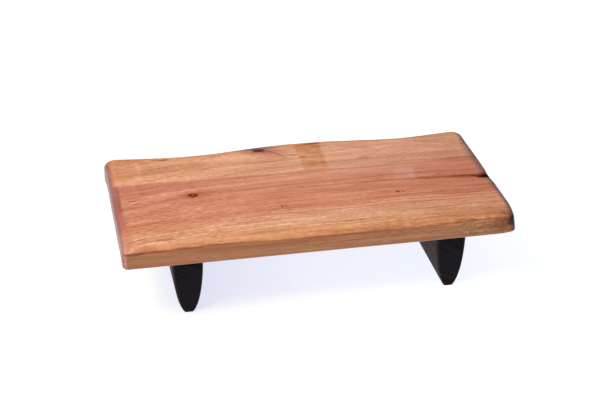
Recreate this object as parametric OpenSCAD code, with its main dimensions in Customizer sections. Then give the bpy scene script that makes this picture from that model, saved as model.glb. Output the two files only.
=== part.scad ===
// Serving board for sushi: a hand-shaped wooden top of two glued planks, raised on two black cross bars.
// X runs along the board, Y from its front edge to its back edge, and Z up.
// The origin lies on the ground under the middle of the board.

/* [Board] */
// Length of the board, end to end
board_length = 300; // [240:5:420]
// Depth of the board, from the front edge to the furthest point of the back edge
board_depth = 150; // [130:5:240]
// Thickness of the board
board_thickness = 18; // [15:0.5:30]
// Depth of the front plank at mid length, from the front edge to the glue line
front_plank_depth = 97; // [88:1:108]
// How much nearer the front edge the glue line lies at the right end than at the left end
glue_line_skew = 3; // [-6:0.5:6]

/* [Hollows] */
// Depth of the hollow in the left half of the back edge
left_hollow_depth = 7.4; // [0:0.2:10]
// Depth of the hollow in the right half of the back edge
right_hollow_depth = 5.4; // [0:0.2:10]
// Depth of the shallow hollow in the right end
end_hollow_depth = 0.8; // [0:0.1:3]

/* [Edges] */
// Width of the worn-round edge at the left end, seen from above
left_round_width = 7.5; // [3:0.5:9]
// How far the left end's rounding drops below the top
left_round_drop = 6; // [3:0.5:8]
// Width of the rounding at the right end
right_round_width = 5; // [3:0.5:9]
// How far the right end's rounding drops
right_round_drop = 5; // [3:0.5:8]
// Width of the rounding along the front edge
front_round_width = 3.5; // [2:0.5:6]
// How far the front edge's rounding drops
front_round_drop = 3.5; // [2:0.5:6]
// Width of the rounding along the back edge
back_round_width = 3; // [2:0.5:6]
// How far the back edge's rounding drops
back_round_drop = 3; // [2:0.5:6]
// Radius of the rounding all round the underside
under_round = 2; // [1:0.5:4]

/* [Corners] */
// Radius of the back right corner, seen from above
back_right_radius = 7; // [3:0.5:12]
// Radius of the back left corner
back_left_radius = 7.5; // [3:0.5:12]
// Radius of the front left corner
front_left_radius = 4; // [3:0.5:12]
// Radius of the front right corner
front_right_radius = 4.5; // [3:0.5:12]
// How much larger the front right corner's radius grows at the top, where it is worn
front_right_wear = 10; // [0:0.5:12]
// How much larger the radii of the other corners grow at the top
corner_wear = 2; // [0:0.5:4]

/* [Check] */
// Length of the drying crack in the right end
crack_length = 15; // [6:1:24]
// Width of the crack where it opens at the end
crack_width = 2.4; // [0.6:0.1:3.2]
// Depth of the crack below the top
crack_depth = 6; // [2:0.5:9]
// Distance of the crack in front of the glue line
crack_to_glue_line = 30.5; // [20:0.5:40]

/* [Legs] */
// Height of the legs, from the ground to the underside of the board
leg_height = 46; // [40:1:70]
// Width of a leg where it meets the board
leg_width = 23; // [20:0.2:32]
// How far the middle of each leg lies in from the board's end
leg_end_inset = 49; // [40:0.5:60]
// How far the front faces of the legs lie behind the board's front edge
leg_front_inset = 8; // [4:1:20]
// How far the back faces of the legs lie in front of the furthest point of the back edge
leg_back_inset = 14; // [12:1:20]
// How much of the rounded tip of a leg is cut away to make its flat foot
foot_cut = 1.2; // [0.6:0.1:3]
// Width of the eased edges at the two faces of a leg
leg_ease = 1; // [0.4:0.1:1.5]
// How full the curve of a leg's section is: 2 gives half an ellipse
leg_fullness = 2.1; // [1.8:0.1:3]

/* [Dowels] */
// Diameter of the dowels
dowel_diameter = 8; // [6:0.5:10]
// How far a dowel goes into the board
dowel_in_board = 11; // [8:0.5:12]
// How far a dowel goes into its leg
dowel_in_leg = 19; // [14:0.5:22]
// How far the middles of the outer dowels lie in from the two faces of a leg
dowel_face_inset = 19; // [12:1:24]
// Width of the chamfer at each end of a dowel
dowel_chamfer = 1; // [0.5:0.1:1.5]
// Gap between a dowel and the wall of its hole
dowel_clearance = 0.05; // [0.03:0.01:0.1]
// Room for glue past each end of a dowel
glue_room = 1; // [0.5:0.1:1.5]
// Radius of the glue flutes along a dowel
flute_radius = 0.5; // [0.3:0.1:0.8]
// Number of glue flutes round a dowel
flute_count = 8; // [4:1:12]

/* [Hidden] */

// Numbers of steps: along a long side, along an end, round a corner, round an edge, round a leg
long_steps = 40;
end_steps = 16;
corner_steps = 9;
edge_steps = 7;
leg_steps = 48;
// Smoothness of the round holes and dowels
$fn = 48;
// How far a cutting solid runs past what it cuts
overrun = 1;

// Where each hollow is deepest, as a share of the side that it lies in, from the left or from the front
left_hollow_place_share = 0.233;
right_hollow_place_share = 0.81;
end_hollow_place_share = 0.44;
// How far each hollow reaches to its two sides, as shares of the same side
left_hollow_reach_shares = [0.32, 0.27];
right_hollow_reach_shares = [0.24, 0.24];
end_hollow_reach_shares = [0.1, 0.1];

underside = leg_height;
board_top = underside + board_thickness;
right_end = board_length / 2;
back_edge = board_depth / 2;
front_edge = -back_edge;
leg_length = board_depth - leg_front_inset - leg_back_inset;
leg_middle = front_edge + leg_front_inset + leg_length / 2;
leg_place = right_end - leg_end_inset;
dowel_spacing = leg_length / 2 - dowel_face_inset;
dowel_radius = dowel_diameter / 2;

// The sides of the board are listed as right, back, left and front: side i faces the angle 90 * i.
// Corner i lies between side i and the next one.
round_widths = [right_round_width, back_round_width, left_round_width, front_round_width];
round_drops = [right_round_drop, back_round_drop, left_round_drop, front_round_drop];
under_rounds = [for (side = [0:3]) under_round];
corner_radii = [back_right_radius, back_left_radius, front_left_radius, front_right_radius];
corner_wears = [corner_wear, corner_wear, corner_wear, front_right_wear];
side_steps = [end_steps, long_steps, end_steps, long_steps];

// The y of the glue line at a place along the board
function glue_line(x) = front_edge + front_plank_depth - glue_line_skew * x / board_length;

// A smooth hollow: its whole depth at its place, falling as a cosine to nothing at its two reaches
function hollow(along, place, reaches, depth) =
    let (away = (along - place) / (along < place ? reaches[0] : reaches[1]))
    abs(away) < 1 ? depth * (1 + cos(180 * away)) / 2 : 0;

function back_hollow(x) =
    hollow(x + right_end, board_length * left_hollow_place_share,
        board_length * left_hollow_reach_shares, left_hollow_depth)
    + hollow(x + right_end, board_length * right_hollow_place_share,
        board_length * right_hollow_reach_shares, right_hollow_depth);

function end_hollow(y) =
    hollow(y + back_edge, board_depth * end_hollow_place_share,
        board_depth * end_hollow_reach_shares, end_hollow_depth);

// Draws a point of the plain outline in by the hollows, fully at the edge and less towards the middle
function drawn_in(point) = [
    point.x - max(0, point.x) / right_end * end_hollow(point.y),
    point.y - max(0, point.y) / back_edge * back_hollow(point.x)
];

// Blends one value for each side smoothly round the corners, for the direction that the outline faces
function by_side(facing, values) =
    [for (side = [0:3]) pow(max(0, cos(facing - 90 * side)), 2)] * values;

// A rectangle with rounded corners, inset by a width for each side, as [x, y, facing]
function outline(insets, radii) =
    let (
        right = right_end - insets[0],
        back = back_edge - insets[1],
        left = insets[2] - right_end,
        front = front_edge + insets[3],
        centres = [
            [right - radii[0], back - radii[0]],
            [left + radii[1], back - radii[1]],
            [left + radii[2], front + radii[2]],
            [right - radii[3], front + radii[3]]
        ]
    )
    [for (corner = [0:3]) each concat(
        [for (step = [0:corner_steps])
            let (facing = 90 * (corner + step / corner_steps))
            on_arc(centres[corner], radii[corner], facing)],
        [for (step = [1:side_steps[(corner + 1) % 4] - 1])
            let (
                next = (corner + 1) % 4,
                facing = 90 * (corner + 1),
                share = step / side_steps[next],
                start = on_arc(centres[corner], radii[corner], facing),
                end = on_arc(centres[next], radii[next], facing)
            )
            start + (end - start) * share]
    )];

function on_arc(centre, radius, facing) =
    [centre.x + radius * cos(facing), centre.y + radius * sin(facing), facing];

// One ring of points round the board: turn is 0 on the flat face and 90 on the upright edge
function edge_ring(turn, widths, drops, wears, level, up) =
    let (
        share = 1 - sin(turn),
        radii = corner_radii + wears * share
    )
    [for (point = outline(widths * share, radii))
        let (flat = drawn_in(point))
        [flat.x, flat.y, level - up * (1 - cos(turn)) * by_side(point.z, drops)]];

// The whole top before it is split into planks: rings from the top face round the edge to the underside
module board_blank() {
    turns = [for (step = [0:edge_steps]) 90 * step / edge_steps];
    last = len(turns) - 1;
    rings = concat(
        [for (turn = turns) edge_ring(turn, round_widths, round_drops, corner_wears, board_top, 1)],
        [for (i = [0:last])
            edge_ring(turns[last - i], under_rounds, under_rounds, corner_wears * 0, underside, -1)]
    );
    count = len(rings[0]);
    bands = len(rings) - 1;
    top_middle = len(rings) * count;
    under_middle = top_middle + 1;
    points = concat([for (ring = rings) each ring], [[0, 0, board_top], [0, 0, underside]]);
    faces = concat(
        [for (band = [0:bands - 1], i = [0:count - 1])
            let (
                j = (i + 1) % count,
                above = band * count,
                below = above + count
            )
            each [[above + i, above + j, below + j], [above + i, below + j, below + i]]],
        [for (i = [0:count - 1]) [top_middle, (i + 1) % count, i]],
        [for (i = [0:count - 1]) [under_middle, bands * count + i, bands * count + (i + 1) % count]]
    );
    polyhedron(points, faces);
}

// Everything in front of the glue line, to just past the board's edges
module ahead_of_glue_line() {
    reach = right_end + overrun;
    front_y = front_edge - overrun;
    translate([0, 0, underside - overrun])
        linear_extrude(board_thickness + 2 * overrun)
            polygon([
                [-reach, front_y], [reach, front_y],
                [reach, glue_line(reach)], [-reach, glue_line(-reach)]
            ]);
}

// A wedge-shaped slot that opens at the right end and at the top
module drying_crack() {
    mouth = right_end + overrun;
    translate([0, glue_line(right_end) - crack_to_glue_line, board_top - crack_depth])
        linear_extrude(crack_depth + overrun)
            polygon([
                [right_end - crack_length, 0],
                [mouth, -crack_width / 2], [mouth, crack_width / 2]
            ]);
}

// Puts what follows at each dowel's place in both legs, at the level of the board's underside
module at_each_dowel() {
    for (side = [-1, 1], place = [-1, 0, 1])
        at_dowel(side, place) children();
}

module at_dowel(side, place) {
    translate([side * leg_place, leg_middle + place * dowel_spacing, underside]) children();
}

// The hole for one dowel, in the board and in the leg at once
module dowel_hole() {
    below = dowel_in_leg + glue_room;
    above = dowel_in_board + glue_room;
    translate([0, 0, -below]) cylinder(r = dowel_radius + dowel_clearance, h = below + above);
}

module front_plank() {
    color("#cd8560") difference() {
        intersection() {
            board_blank();
            ahead_of_glue_line();
        }
        drying_crack();
        at_each_dowel() dowel_hole();
    }
}

module back_plank() {
    color("#dba176") difference() {
        board_blank();
        ahead_of_glue_line();
        at_each_dowel() dowel_hole();
    }
}

// A leg's section below its flat top: half a superellipse with its tip cut off, drawn in by an inset
module leg_section(inset) {
    half_width = leg_width / 2 - inset;
    tip = leg_height + foot_cut - inset;
    power = 2 / leg_fullness;
    polygon([for (step = [0:leg_steps])
        let (turn = 180 * step / leg_steps)
        [
            half_width * sign(cos(turn)) * pow(abs(cos(turn)), power),
            -min(leg_height - inset, tip * pow(sin(turn), power))
        ]]);
}

// A length of leg under the board, centred on the leg's middle
module leg_bar(inset, length) {
    translate([0, length / 2, 0]) rotate([90, 0, 0]) linear_extrude(length) leg_section(inset);
}

module leg(side) {
    color("#2b282c") difference() {
        translate([side * leg_place, leg_middle, underside]) hull() {
            leg_bar(0, leg_length - 2 * leg_ease);
            leg_bar(leg_ease, leg_length);
        }
        at_each_dowel() dowel_hole();
    }
}

// A fluted dowel with chamfered ends
module dowel() {
    color("#dcb98a") difference() {
        rotate_extrude()
            polygon([
                [0, -dowel_in_leg],
                [dowel_radius - dowel_chamfer, -dowel_in_leg],
                [dowel_radius, dowel_chamfer - dowel_in_leg],
                [dowel_radius, dowel_in_board - dowel_chamfer],
                [dowel_radius - dowel_chamfer, dowel_in_board],
                [0, dowel_in_board]
            ]);
        for (flute = [0:flute_count - 1])
            rotate([0, 0, 360 * flute / flute_count])
                translate([dowel_radius, 0, -dowel_in_leg - overrun])
                    cylinder(r = flute_radius, h = dowel_in_leg + dowel_in_board + 2 * overrun);
    }
}

front_plank();
back_plank();
leg(-1);  // left_leg
leg(1);  // right_leg
at_dowel(-1, -1) dowel();  // left_dowel_front
at_dowel(-1, 0) dowel();  // left_dowel_middle
at_dowel(-1, 1) dowel();  // left_dowel_back
at_dowel(1, -1) dowel();  // right_dowel_front
at_dowel(1, 0) dowel();  // right_dowel_middle
at_dowel(1, 1) dowel();  // right_dowel_back
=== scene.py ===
"""A raised serving board for sushi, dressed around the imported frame.

Two glued planks with a worn, lacquered finish stand on two black-stained cross bars.
Lengths are in millimetres until a mesh is made, and the mesh is in metres.
"""

import bpy
import numpy as np
from mathutils import Matrix, Vector
from mathutils.geometry import tessellate_polygon


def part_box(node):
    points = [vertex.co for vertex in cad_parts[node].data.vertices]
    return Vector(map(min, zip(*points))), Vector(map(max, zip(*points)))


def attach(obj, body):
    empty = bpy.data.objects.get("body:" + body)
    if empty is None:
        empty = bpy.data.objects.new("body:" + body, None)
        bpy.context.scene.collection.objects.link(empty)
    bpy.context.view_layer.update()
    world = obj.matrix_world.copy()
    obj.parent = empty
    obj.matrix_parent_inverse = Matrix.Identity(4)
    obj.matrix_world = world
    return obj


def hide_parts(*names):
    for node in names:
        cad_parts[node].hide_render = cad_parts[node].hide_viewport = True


MM = 0.001
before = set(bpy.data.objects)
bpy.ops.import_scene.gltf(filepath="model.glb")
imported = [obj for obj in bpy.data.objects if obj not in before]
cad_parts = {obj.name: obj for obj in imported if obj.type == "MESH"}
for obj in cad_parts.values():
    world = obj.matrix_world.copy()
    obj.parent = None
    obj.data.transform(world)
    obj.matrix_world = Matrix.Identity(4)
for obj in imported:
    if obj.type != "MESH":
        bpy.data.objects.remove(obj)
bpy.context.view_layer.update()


def corners(node):
    """A CAD node's lowest and highest corners, in millimetres."""
    low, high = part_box(node)
    return np.array(low) / MM, np.array(high) / MM


# The board's main sizes, from the frame
(_, FRONT_EDGE, UNDERSIDE), (RIGHT_END, _, TOP) = corners("front_plank")
BACK_EDGE = corners("back_plank")[1][1]
BOARD_LENGTH = 2 * RIGHT_END
BOARD_DEPTH = BACK_EDGE - FRONT_EDGE

# The glue line: the front plank's depth at mid length, and how much the line skews over the length
FRONT_PLANK_DEPTH = 97
GLUE_LINE_SKEW = 3
# How far the back plank's top falls away from the glue line, per millimetre of depth
BACK_PLANK_FALL = 0.005

# Hollows in the back edge and the right end: depth, then place and reaches along the side
LEFT_HOLLOW = (7.4, 0.233 * BOARD_LENGTH - RIGHT_END, 0.32 * BOARD_LENGTH, 0.27 * BOARD_LENGTH)
RIGHT_HOLLOW = (5.4, 0.81 * BOARD_LENGTH - RIGHT_END, 0.24 * BOARD_LENGTH, 0.24 * BOARD_LENGTH)
END_HOLLOW = (0.8, 0.44 * BOARD_DEPTH + FRONT_EDGE, 0.1 * BOARD_DEPTH, 0.1 * BOARD_DEPTH)
# How far behind the glue line the back edge's hollows draw the plank in by their whole depth
HOLLOW_FADE = 12

# Rounded edges and corners. Sides are listed as right, back, left, front, and side i faces 90 * i degrees.
# Corner i lies between side i and the next one. Its radius grows by its wear towards the top.
ROUND_WIDTHS = np.array([5, 3, 7.5, 5.5])
ROUND_DROPS = np.array([5, 3, 6, 4])
CORNER_RADII = np.array([7, 6.2, 4, 4.5])
CORNER_WEARS = np.array([2, 2, 2, 10])
UNDER_ROUND = 2
# One stretch of the front edge drops less: by how much, then its place and reaches
SHALLOW_FRONT = (1.4, -72, 40, 44)
# The front edge is a crisp slope: its power, where it begins at the right, and where it is fully formed
CRISP_POWER = 1.5
CRISP_FROM, CRISP_FULL = 112, 90

# The drying crack in the right end: its tip, its line, its slant towards the front and over what stretch, how
# its line wavers, its half width at the end, its depth, and how far past the end and the top it runs on
CRACK_TIP = RIGHT_END - 17
CRACK_Y = -9.9
CRACK_SLANT, CRACK_SLANT_REACH = 2.8, 9
CRACK_WAVER, CRACK_WAVER_LENGTH = 0.35, 3.1
CRACK_HALF_WIDTH = 2.3
CRACK_DEPTH = 9
CRACK_OVERRUN = 1.05

# The worn corner at the front right: how deep and how far it is worn. The edge below it rises, over a reach
# and a height, and the front edge is worn round towards it, to a depth and reach of its own, from one place
# along it to another.
WORN_DEPTH, WORN_REACH = 2, 11
WORN_RISE, WORN_RISE_REACH, WORN_RISE_HEIGHT = 0.9, 14, 8
WORN_EDGE_DEPTH, WORN_EDGE_REACH = 1.2, 5
WORN_EDGE_FROM, WORN_EDGE_FULL = 94, 122
# Where the front face gets rougher, towards the right
ROUGH_FROM, ROUGH_FULL = 96, 112

# How far the left end is planed back, and at which places behind the middle this begins and is whole
LEFT_END_CUT = 0.9
LEFT_END_CUT_FROM, LEFT_END_CUT_FULL = 70, 55

# Steps of the planks' surface, which lie closer together round the crack: by how much, and over what share
END_STEPS = 96
CORNER_STEPS = 12
LONG_STEPS = 250
ROUND_STEPS = 9
WALL_STEPS = 12
UNDER_STEPS = 5
CRACK_GATHERING = (5, 0.04)
# The ring inside the underside's rounding, which keeps the underside's shading flat: its inset, in radii
LAST_RING = 1.3
# Edges sharper than this many degrees stay sharp
SHARP_ANGLE = 38

# Dowel holes: steps round a hole, clearance round a dowel and room for glue past its end
HOLE_STEPS = 32
DOWEL_CLEARANCE = 0.05
GLUE_ROOM = 1

# The legs' section, the easing of their faces with one more section inside it, and their steps
LEG_FULLNESS = 2.1
FOOT_CUT = 1.2
LEG_EASE, LEG_INNER = 1.2, 0.6
LEG_ARC_STEPS, LEG_EASE_STEPS, LEG_STEPS = 72, 4, 65
# How uneven the legs' sides are, and over which heights this fades to nothing at the foot and below the top
LEG_WAVES = 0.12
FOOT_FADE, HEAD_FADE = (0.5, 6), (0.2, 3)


def smooth(low, high, value):
    """0 below low, 1 above high, and 3t^2 - 2t^3 of the share t between them."""
    t = np.clip((value - low) / (high - low), 0, 1)
    return t * t * (3 - 2 * t)


def wander(points, cell, seed):
    """Smooth noise from -1 to 1: random numbers on a lattice of the given cell, blended by smooth shares."""
    size = 24
    table = np.random.default_rng(seed).uniform(-1, 1, (size, size, size))
    place = points / np.array(cell)
    low = np.floor(place).astype(int)
    share = smooth(0, 1, place - low)
    total = np.zeros(len(points))
    for corner in np.ndindex(2, 2, 2):
        weight = np.prod(np.where(corner, share, 1 - share), axis=1)
        total += weight * table[tuple(((low + corner) % size).T)]
    return total


def gathered(count, place, strength, reach, samples=1000):
    """Shares from 0 to 1, closer together round a place: the inverse of the running sum of 1 plus a bell."""
    t = np.linspace(0, 1, samples)
    density = 1 + strength * np.exp(-((t - place) / reach) ** 2)
    total = np.concatenate([[0], np.cumsum((density[1:] + density[:-1]) / 2)])
    return np.interp(np.linspace(0, 1, count + 1), total / total[-1], t)


def glue_line(x):
    """The y of the glue line: a straight line that skews towards the front at the right."""
    return FRONT_EDGE + FRONT_PLANK_DEPTH - GLUE_LINE_SKEW * x / BOARD_LENGTH


def hollow(along, depth, place, reach_before, reach_after):
    """A raised cosine: the whole depth at its place, falling to nothing at its two reaches."""
    away = (along - place) / np.where(along < place, reach_before, reach_after)
    return np.where(np.abs(away) < 1, depth * (1 + np.cos(np.pi * away)) / 2, 0)


def by_side(facing, values):
    """One value for each side, blended round the corners by the squared cosine of the angle to the side."""
    return sum(v * np.maximum(0, np.cos(np.radians(facing - 90 * i))) ** 2 for i, v in enumerate(values))


def edge_level(facing, x, turn):
    """The height of the top's rounding at a turn: the top less each side's drop times its fall.

    A side falls by a quarter ellipse, 1 - cos(turn). The front, left of the worn corner, falls by sin(turn)
    to a power instead, which makes a slope with a crisp lower edge, and one stretch of it drops less.
    """
    fall = 1 - np.cos(turn)
    front_fall = fall + (np.sin(turn) ** CRISP_POWER - fall) * smooth(CRISP_FROM, CRISP_FULL, x)
    front_drop = ROUND_DROPS[3] - hollow(x, *SHALLOW_FRONT)
    return TOP - by_side(facing, [*ROUND_DROPS[:3] * fall, front_drop * front_fall])


def plank_ring(side, share, widths, wears):
    """One ring round a plank, from above: x, y, the angle that it faces and whether it lies on the glue line.

    It starts on the glue line and runs along an end, a corner's arc, the long edge, the other arc and the
    other end, then straight back along the glue line. The outline is a rectangle inset by share times each
    side's width, with arcs for corners, less the hollows. side is -1 for the front plank, 1 for the back one.
    """
    first = 1 - side
    long = first + 1
    last = (first + 2) % 4
    x = [side * (RIGHT_END - widths[first] * share), -side * (RIGHT_END - widths[last] * share)]
    y = side * (BACK_EDGE - widths[long] * share)
    radii = [CORNER_RADII[k] + wears[k] * share for k in (first, long)]
    centres = [(x[0] - side * radii[0], y - side * radii[0]), (x[1] + side * radii[1], y - side * radii[1])]
    step = np.arange(CORNER_STEPS) / CORNER_STEPS

    def end_stretch(k, shares):
        glue = glue_line(x[k])
        return np.full(len(shares), x[k]), glue + (centres[k][1] - glue) * shares

    def arc(k):
        turn = np.radians(90 * (first + k + step))
        return centres[k][0] + radii[k] * np.cos(turn), centres[k][1] + radii[k] * np.sin(turn)

    first_shares = last_shares = np.linspace(0, 1, END_STEPS + 1)
    if side < 0:
        glue = glue_line(RIGHT_END)
        crack_share = (glue - CRACK_Y + CRACK_SLANT / 2) / (glue - FRONT_EDGE)
        last_shares = gathered(END_STEPS, crack_share, *CRACK_GATHERING)
    t = np.linspace(0, 1, LONG_STEPS + 1)[:-1]
    back = np.linspace(0, 1, LONG_STEPS + CORNER_STEPS + 1)[:-1]
    glue_x = x[1] + (x[0] - x[1]) * back
    stretches = [
        end_stretch(0, first_shares[:-1]),
        arc(0),
        (centres[0][0] + (centres[1][0] - centres[0][0]) * t, np.full(LONG_STEPS, y)),
        arc(1),
        end_stretch(1, last_shares[:0:-1]),
        (glue_x, glue_line(glue_x)),
    ]
    facing = np.concatenate([
        np.full(END_STEPS, 90. * first), 90 * (first + step), np.full(LONG_STEPS, 90. * long),
        90 * (long + step), np.full(END_STEPS, 90. * (first + 2)), 90 * (first + 2) - 180 * back,
    ])
    px, py = (np.concatenate([s[i] for s in stretches]) for i in (0, 1))
    on_glue = np.arange(len(px)) >= len(px) - len(back)
    px = px - np.maximum(0, px) / RIGHT_END * hollow(py, *END_HOLLOW)
    if side > 0:
        drawn = (hollow(px, *LEFT_HOLLOW) + hollow(px, *RIGHT_HOLLOW)) * py / BACK_EDGE
        py = py - np.where(on_glue, 0, drawn * smooth(glue_line(px), glue_line(px) + HOLLOW_FADE, py))
    return px, py, facing, on_glue


def plank_rings(side):
    """A plank's skin as rings from the flat top, over the edge, down the wall and under it.

    It gives the points and their outward directions. Over the edge a ring is inset by 1 - sin(turn) of the
    rounding's width, for turns from 0 to 90 degrees. A wall's ring sinks from the rounding to a low level.
    The rounding underneath is a quarter circle. Along the glue line a ring is as high as at the nearer end.
    """
    points, normals = [], []

    def ring(share, widths, wears, turn, up=1, sink=0, low=0):
        x, y, facing, on_glue = plank_ring(side, share, widths, wears)
        nearer_end = np.where(x > 0, 0, 180)
        edge = edge_level(np.where(on_glue, nearer_end, facing), x, turn)
        angle = np.radians(facing)
        normal = np.stack([np.cos(angle) * np.sin(turn), np.sin(angle) * np.sin(turn),
                           np.full(len(x), up * np.cos(turn))], 1)
        normal[on_glue] = 0
        points.append(np.stack([x, y, edge * (1 - sink) + low * sink], 1))
        normals.append(normal)

    straight = np.zeros(4)
    under = np.full(4, UNDER_ROUND)
    for turn in np.linspace(0, np.pi / 2, ROUND_STEPS + 1):
        ring(1 - np.sin(turn), ROUND_WIDTHS, CORNER_WEARS, turn)
    for sink in np.linspace(0, 1, WALL_STEPS + 1)[1:]:
        ring(0, straight, straight, np.pi / 2, sink=sink, low=UNDERSIDE + UNDER_ROUND)
    for turn in np.linspace(np.pi / 2, 0, UNDER_STEPS + 1)[1:]:
        ring(1 - np.sin(turn), under, straight, turn, -1, 1, UNDERSIDE + (1 - np.cos(turn)) * UNDER_ROUND)
    ring(LAST_RING, under, straight, 0, -1, 1, UNDERSIDE)
    return np.array(points), np.array(normals)


def patch(first, last, glue, long):
    """A surface between four edge lines, a Coons patch: both blends across, less the blend of the corners.

    first and last run from the glue line to the long edge, and glue and long from the first to the last.
    """
    def run(line, axis):
        along = line[:, axis]
        return (along - along[0]) / (along[-1] - along[0])

    u0, u1, v0, v1 = run(glue, 0), run(long, 0), run(first, 1), run(last, 1)
    even_v = np.linspace(0, 1, len(first))[:, None]
    u = u0 * (1 - even_v) + u1 * even_v
    v = v0[:, None] * (1 - u) + v1[:, None] * u
    u, v = u[..., None], v[..., None]
    ways = (1 - v) * glue + v * long + (1 - u) * first[:, None] + u * last[:, None]
    return ways - (1 - v) * ((1 - u) * first[0] + u * last[0]) - v * ((1 - u) * first[-1] + u * last[-1])


def worn(points, normals):
    """Moves points as hand work and wear leave the surface.

    Noise moves them along their outward directions: the top has slow shallow waves, the front edge's rounding
    wavers, the front face is rough, more so at the right, and the back edge and both ends are uneven. The
    front right corner is worn down by a bell of its distance, the front edge near it by a bell of its own,
    and the edge below rises. The left end is planed back a little but for its back part. The back plank's
    top falls evenly from the glue line.
    """
    x, y, z = points.T
    above = smooth(UNDERSIDE + UNDER_ROUND, TOP - ROUND_DROPS[3], z)
    front = np.maximum(0, -normals[:, 1])
    edge = 4 * np.hypot(normals[:, 0], normals[:, 1]) * np.maximum(0, normals[:, 2])
    # How far the noise moves the points, its cell, and the share of it that each point takes
    waves = [
        (0.05, (60, 35, 35), normals[:, 2]),
        (0.2, (22, 60, 60), edge * front),
        (0.1 + 0.22 * smooth(ROUGH_FROM, ROUGH_FULL, x), (4, 3, 1.8), front * above),
        (0.12, (30, 8, 5), front),
        (0.25, (16, 20, 7), np.maximum(0, normals[:, 1])),
        (0.16, (9, 9, 5), np.abs(normals[:, 0])),
    ]
    push = sum(far * wander(points, cell, seed) * share for seed, (far, cell, share) in enumerate(waves, 1))
    away = (points - [RIGHT_END, FRONT_EDGE, TOP]) ** 2
    push -= WORN_DEPTH * np.exp(-away.sum(1) / WORN_REACH ** 2)
    near_corner = smooth(WORN_EDGE_FROM, WORN_EDGE_FULL, x)
    push -= WORN_EDGE_DEPTH * near_corner * np.exp(-away[:, 1:].sum(1) / WORN_EDGE_REACH ** 2)
    moved = points + normals * push[:, None]
    outer_left = smooth(ROUND_WIDTHS[2] - RIGHT_END, -RIGHT_END, x)
    moved[:, 0] += LEFT_END_CUT * smooth(LEFT_END_CUT_FROM, LEFT_END_CUT_FULL, y) * outer_left
    low = smooth(UNDERSIDE + WORN_RISE_HEIGHT, UNDERSIDE, z)
    near_front = smooth(FRONT_EDGE + WORN_RISE_REACH, FRONT_EDGE, y)
    moved[:, 2] += WORN_RISE * smooth(RIGHT_END - WORN_RISE_REACH, RIGHT_END, x) * low * near_front
    moved[:, 2] -= BACK_PLANK_FALL * np.maximum(0, y - glue_line(x)) * above
    return moved


def cracked(points, normals, halvings=20):
    """Sinks each point that lies in the drying crack, against its outward direction, to the crack's wall.

    The crack is a wedge: its half width grows evenly from its tip to the end, and shrinks with the square
    root of the depth that is left below. Its line wavers by a sine and slants. The wall is found by halving.
    """
    x, y, _ = points.T
    slant = CRACK_SLANT * smooth(CRACK_TIP, CRACK_TIP + CRACK_SLANT_REACH, x)
    away = np.abs(y - CRACK_Y - CRACK_WAVER * np.sin(x / CRACK_WAVER_LENGTH) + slant)

    def half_width(p):
        opening = np.clip((p[:, 0] - CRACK_TIP) / (RIGHT_END - CRACK_TIP), 0, CRACK_OVERRUN)
        left = np.clip(1 - (TOP - p[:, 2]) / CRACK_DEPTH, 0, CRACK_OVERRUN)
        return CRACK_HALF_WIDTH * opening * np.sqrt(left)

    inside = half_width(points) > away
    near = np.zeros(len(points))
    far = np.where(inside, RIGHT_END - CRACK_TIP, 0.)
    for _ in range(halvings):
        middle = (near + far) / 2
        still = half_width(points - normals * middle[:, None]) > away
        near = np.where(still, middle, near)
        far = np.where(still, far, middle)
    return points - normals * (near * inside)[:, None]


def quads(grid, wrap=False):
    """Four-cornered faces between the neighbouring rows and columns of a grid of point numbers."""
    if wrap:
        grid = np.concatenate([grid, grid[:, :1]], axis=1)
    return np.stack([grid[:-1, :-1], grid[1:, :-1], grid[1:, 1:], grid[:-1, 1:]], -1).reshape(-1, 4)


def flat_faces(loops, numbers, up, least=1e-9):
    """Triangles that fill a flat outline with holes in it, facing up, without those under the least size.

    numbers are the loops' point numbers, one after another.
    """
    triangles = np.array(tessellate_polygon([[Vector(p) for p in loop] for loop in loops]))
    flat = np.concatenate(loops)
    a, b, c = (flat[triangles[:, i]] for i in range(3))
    normal = np.cross(b - a, c - a)
    wrong = normal @ np.array(up) < 0
    triangles[wrong] = triangles[wrong][:, ::-1]
    return np.asarray(numbers)[triangles[np.abs(normal).sum(1) > least]]


def dowel_places(side=""):
    """Each dowel's middle, radius and two ends, from the frame, for one leg or for both."""
    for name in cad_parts:
        if "dowel" in name and name.startswith(side):
            low, high = corners(name)
            yield (low[:2] + high[:2]) / 2, (high[0] - low[0]) / 2, low[2], high[2]


def dowel_holes(places, level, up, start):
    """Blind holes in a flat face, going up for 1 and down for -1.

    It gives their points, numbered from start, their faces, and the loops and point numbers of their mouths.
    """
    turn = 2 * np.pi * np.arange(HOLE_STEPS) / HOLE_STEPS
    points, faces, loops, numbers = [], [], [], []
    for middle, radius, low, high in places:
        depth = (high + GLUE_ROOM) if up > 0 else (low - GLUE_ROOM)
        wide = radius + DOWEL_CLEARANCE
        mouth = np.stack([middle[0] + wide * np.cos(turn), middle[1] + wide * np.sin(turn),
                          np.full(HOLE_STEPS, level)], 1)
        ring = start + len(points) * 2 * HOLE_STEPS + np.arange(HOLE_STEPS)
        points.append(np.concatenate([mouth, mouth * [1, 1, 0] + [0, 0, depth]]))
        faces += [face[::up] for face in quads(np.array([ring, ring + HOLE_STEPS]), wrap=True)]
        faces.append((ring + HOLE_STEPS)[::-up])
        loops.append(mouth)
        numbers.append(ring)
    return np.concatenate(points), faces, loops, numbers


def new_object(name, points, faces, material):
    """An object at the origin, from points in millimetres and faces, with one material."""
    mesh = bpy.data.meshes.new(name)
    mesh.from_pydata((np.array(points) * MM).tolist(), [], [list(map(int, face)) for face in faces])
    mesh.materials.append(material)
    made = bpy.data.objects.new(name, mesh)
    bpy.context.scene.collection.objects.link(made)
    return made


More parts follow.
